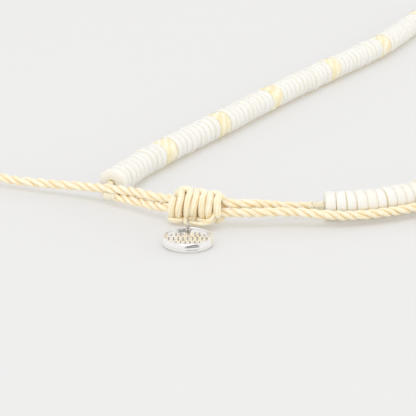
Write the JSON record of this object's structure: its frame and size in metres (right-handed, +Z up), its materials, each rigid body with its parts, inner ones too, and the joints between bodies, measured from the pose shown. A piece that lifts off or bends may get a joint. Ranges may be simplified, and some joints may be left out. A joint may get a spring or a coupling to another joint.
{
  "type": "shell bead necklace",
  "caption": "Adjustable choker of thin white shell discs and mother-of-pearl beads, closed by twisted waxed cords through one sliding knot, with a small pierced round silver charm on a ring.",
  "frame": {"origin": "on the surface that the necklace lies on, under the middle of the box round its beads, sliding knot, ring and charm", "axes": "+Z up from the surface, +Y away from the charm towards the back of the loop, +X to the right of the charm seen from the front"},
  "size_m": [0.1386, 0.1434, 0.0058],
  "materials": {
    "white_shell": "satin, slightly translucent",
    "nacre": "pearly gloss",
    "waxed_cord": "waxed, twisted",
    "knot_cord": "waxed, parallel filaments",
    "whipping_thread": "waxed",
    "bead_thread": "matte",
    "silver": "polished"
  },
  "bodies": {
    "root": {"white_shell_discs": "white_shell", "nacre_bead_01": "nacre", "nacre_bead_02": "nacre", "nacre_bead_03": "nacre", "nacre_bead_04": "nacre", "nacre_bead_05": "nacre", "nacre_bead_06": "nacre", "nacre_bead_07": "nacre", "nacre_bead_08": "nacre", "nacre_bead_09": "nacre", "nacre_bead_10": "nacre", "nacre_bead_11": "nacre", "nacre_bead_12": "nacre", "nacre_bead_13": "nacre", "nacre_bead_14": "nacre", "nacre_bead_15": "nacre", "nacre_bead_16": "nacre", "nacre_bead_17": "nacre", "nacre_bead_18": "nacre", "stringing_thread": "bead_thread", "whipping_left": "whipping_thread", "whipping_right": "whipping_thread", "cord_left": "waxed_cord", "cord_right": "waxed_cord", "end_knot_left": "waxed_cord", "end_knot_right": "waxed_cord", "sliding_knot": "knot_cord", "jump_ring": "silver", "charm": "silver"}
  },
  "joints": []
}
